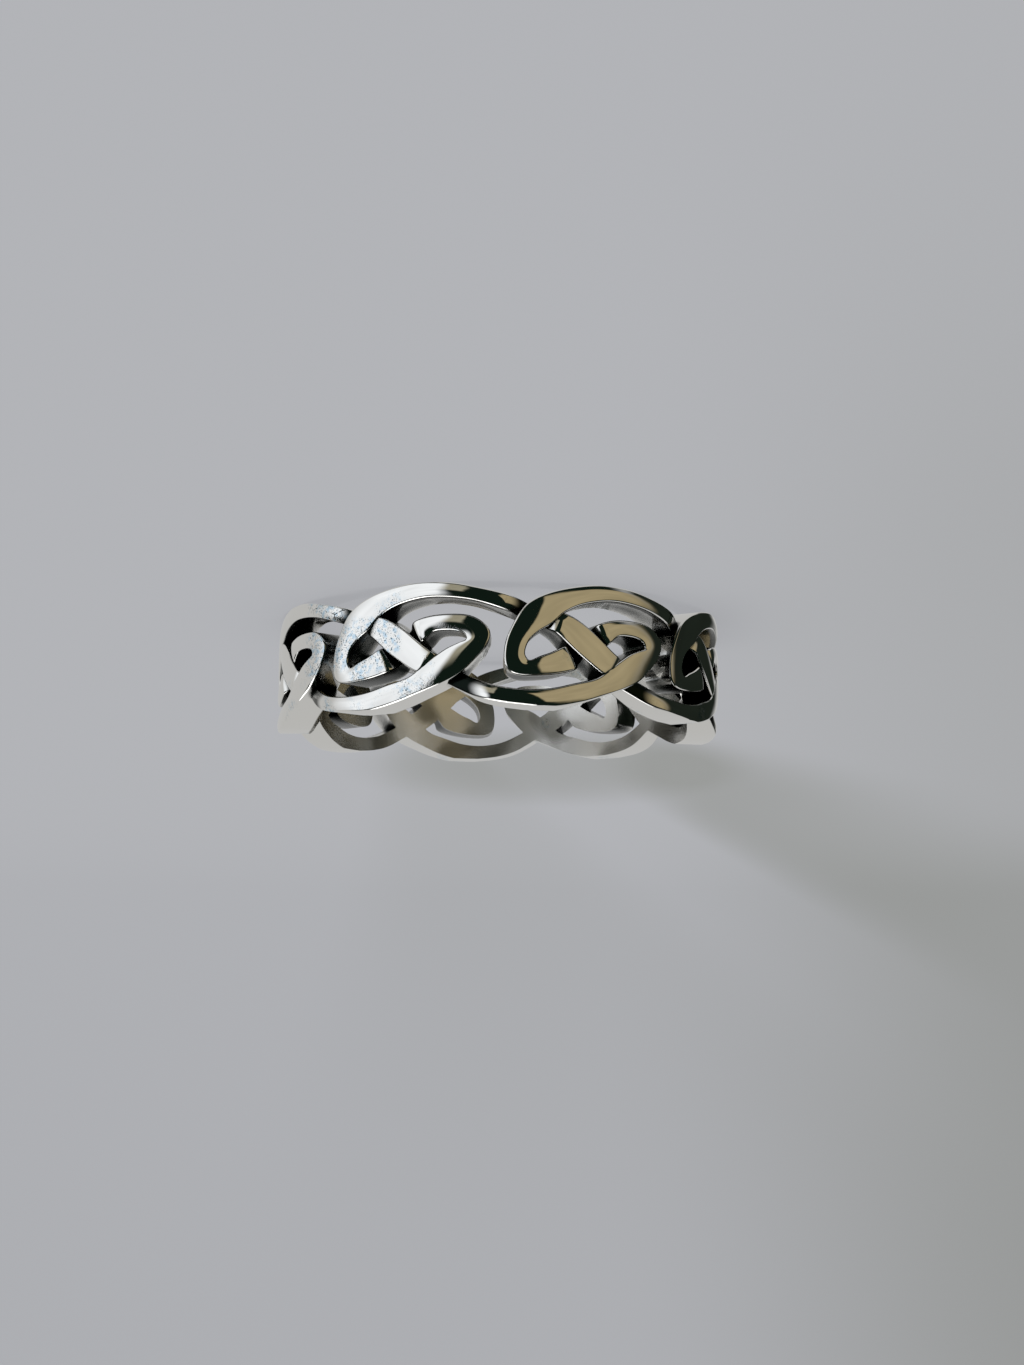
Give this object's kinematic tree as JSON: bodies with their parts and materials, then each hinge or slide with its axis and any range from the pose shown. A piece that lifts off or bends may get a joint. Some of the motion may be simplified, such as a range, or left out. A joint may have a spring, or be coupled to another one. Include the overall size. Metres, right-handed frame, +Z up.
{
  "type": "friendship ring",
  "caption": "Silver finger ring: one cast band pierced through as an endless interlaced knot, with a smooth round finger hole.",
  "frame": {"origin": "on the finger hole's axis, in the plane that the band's lowest loops rest on", "axes": "+Z up along the finger hole's axis; +X through the middle of one repeat of the knot"},
  "size_m": [0.0202, 0.0202, 0.0051],
  "materials": {
    "silver": "polished silver, oxidised black in the recesses"
  },
  "bodies": {
    "root": {"knot_band": "silver"}
  },
  "joints": []
}
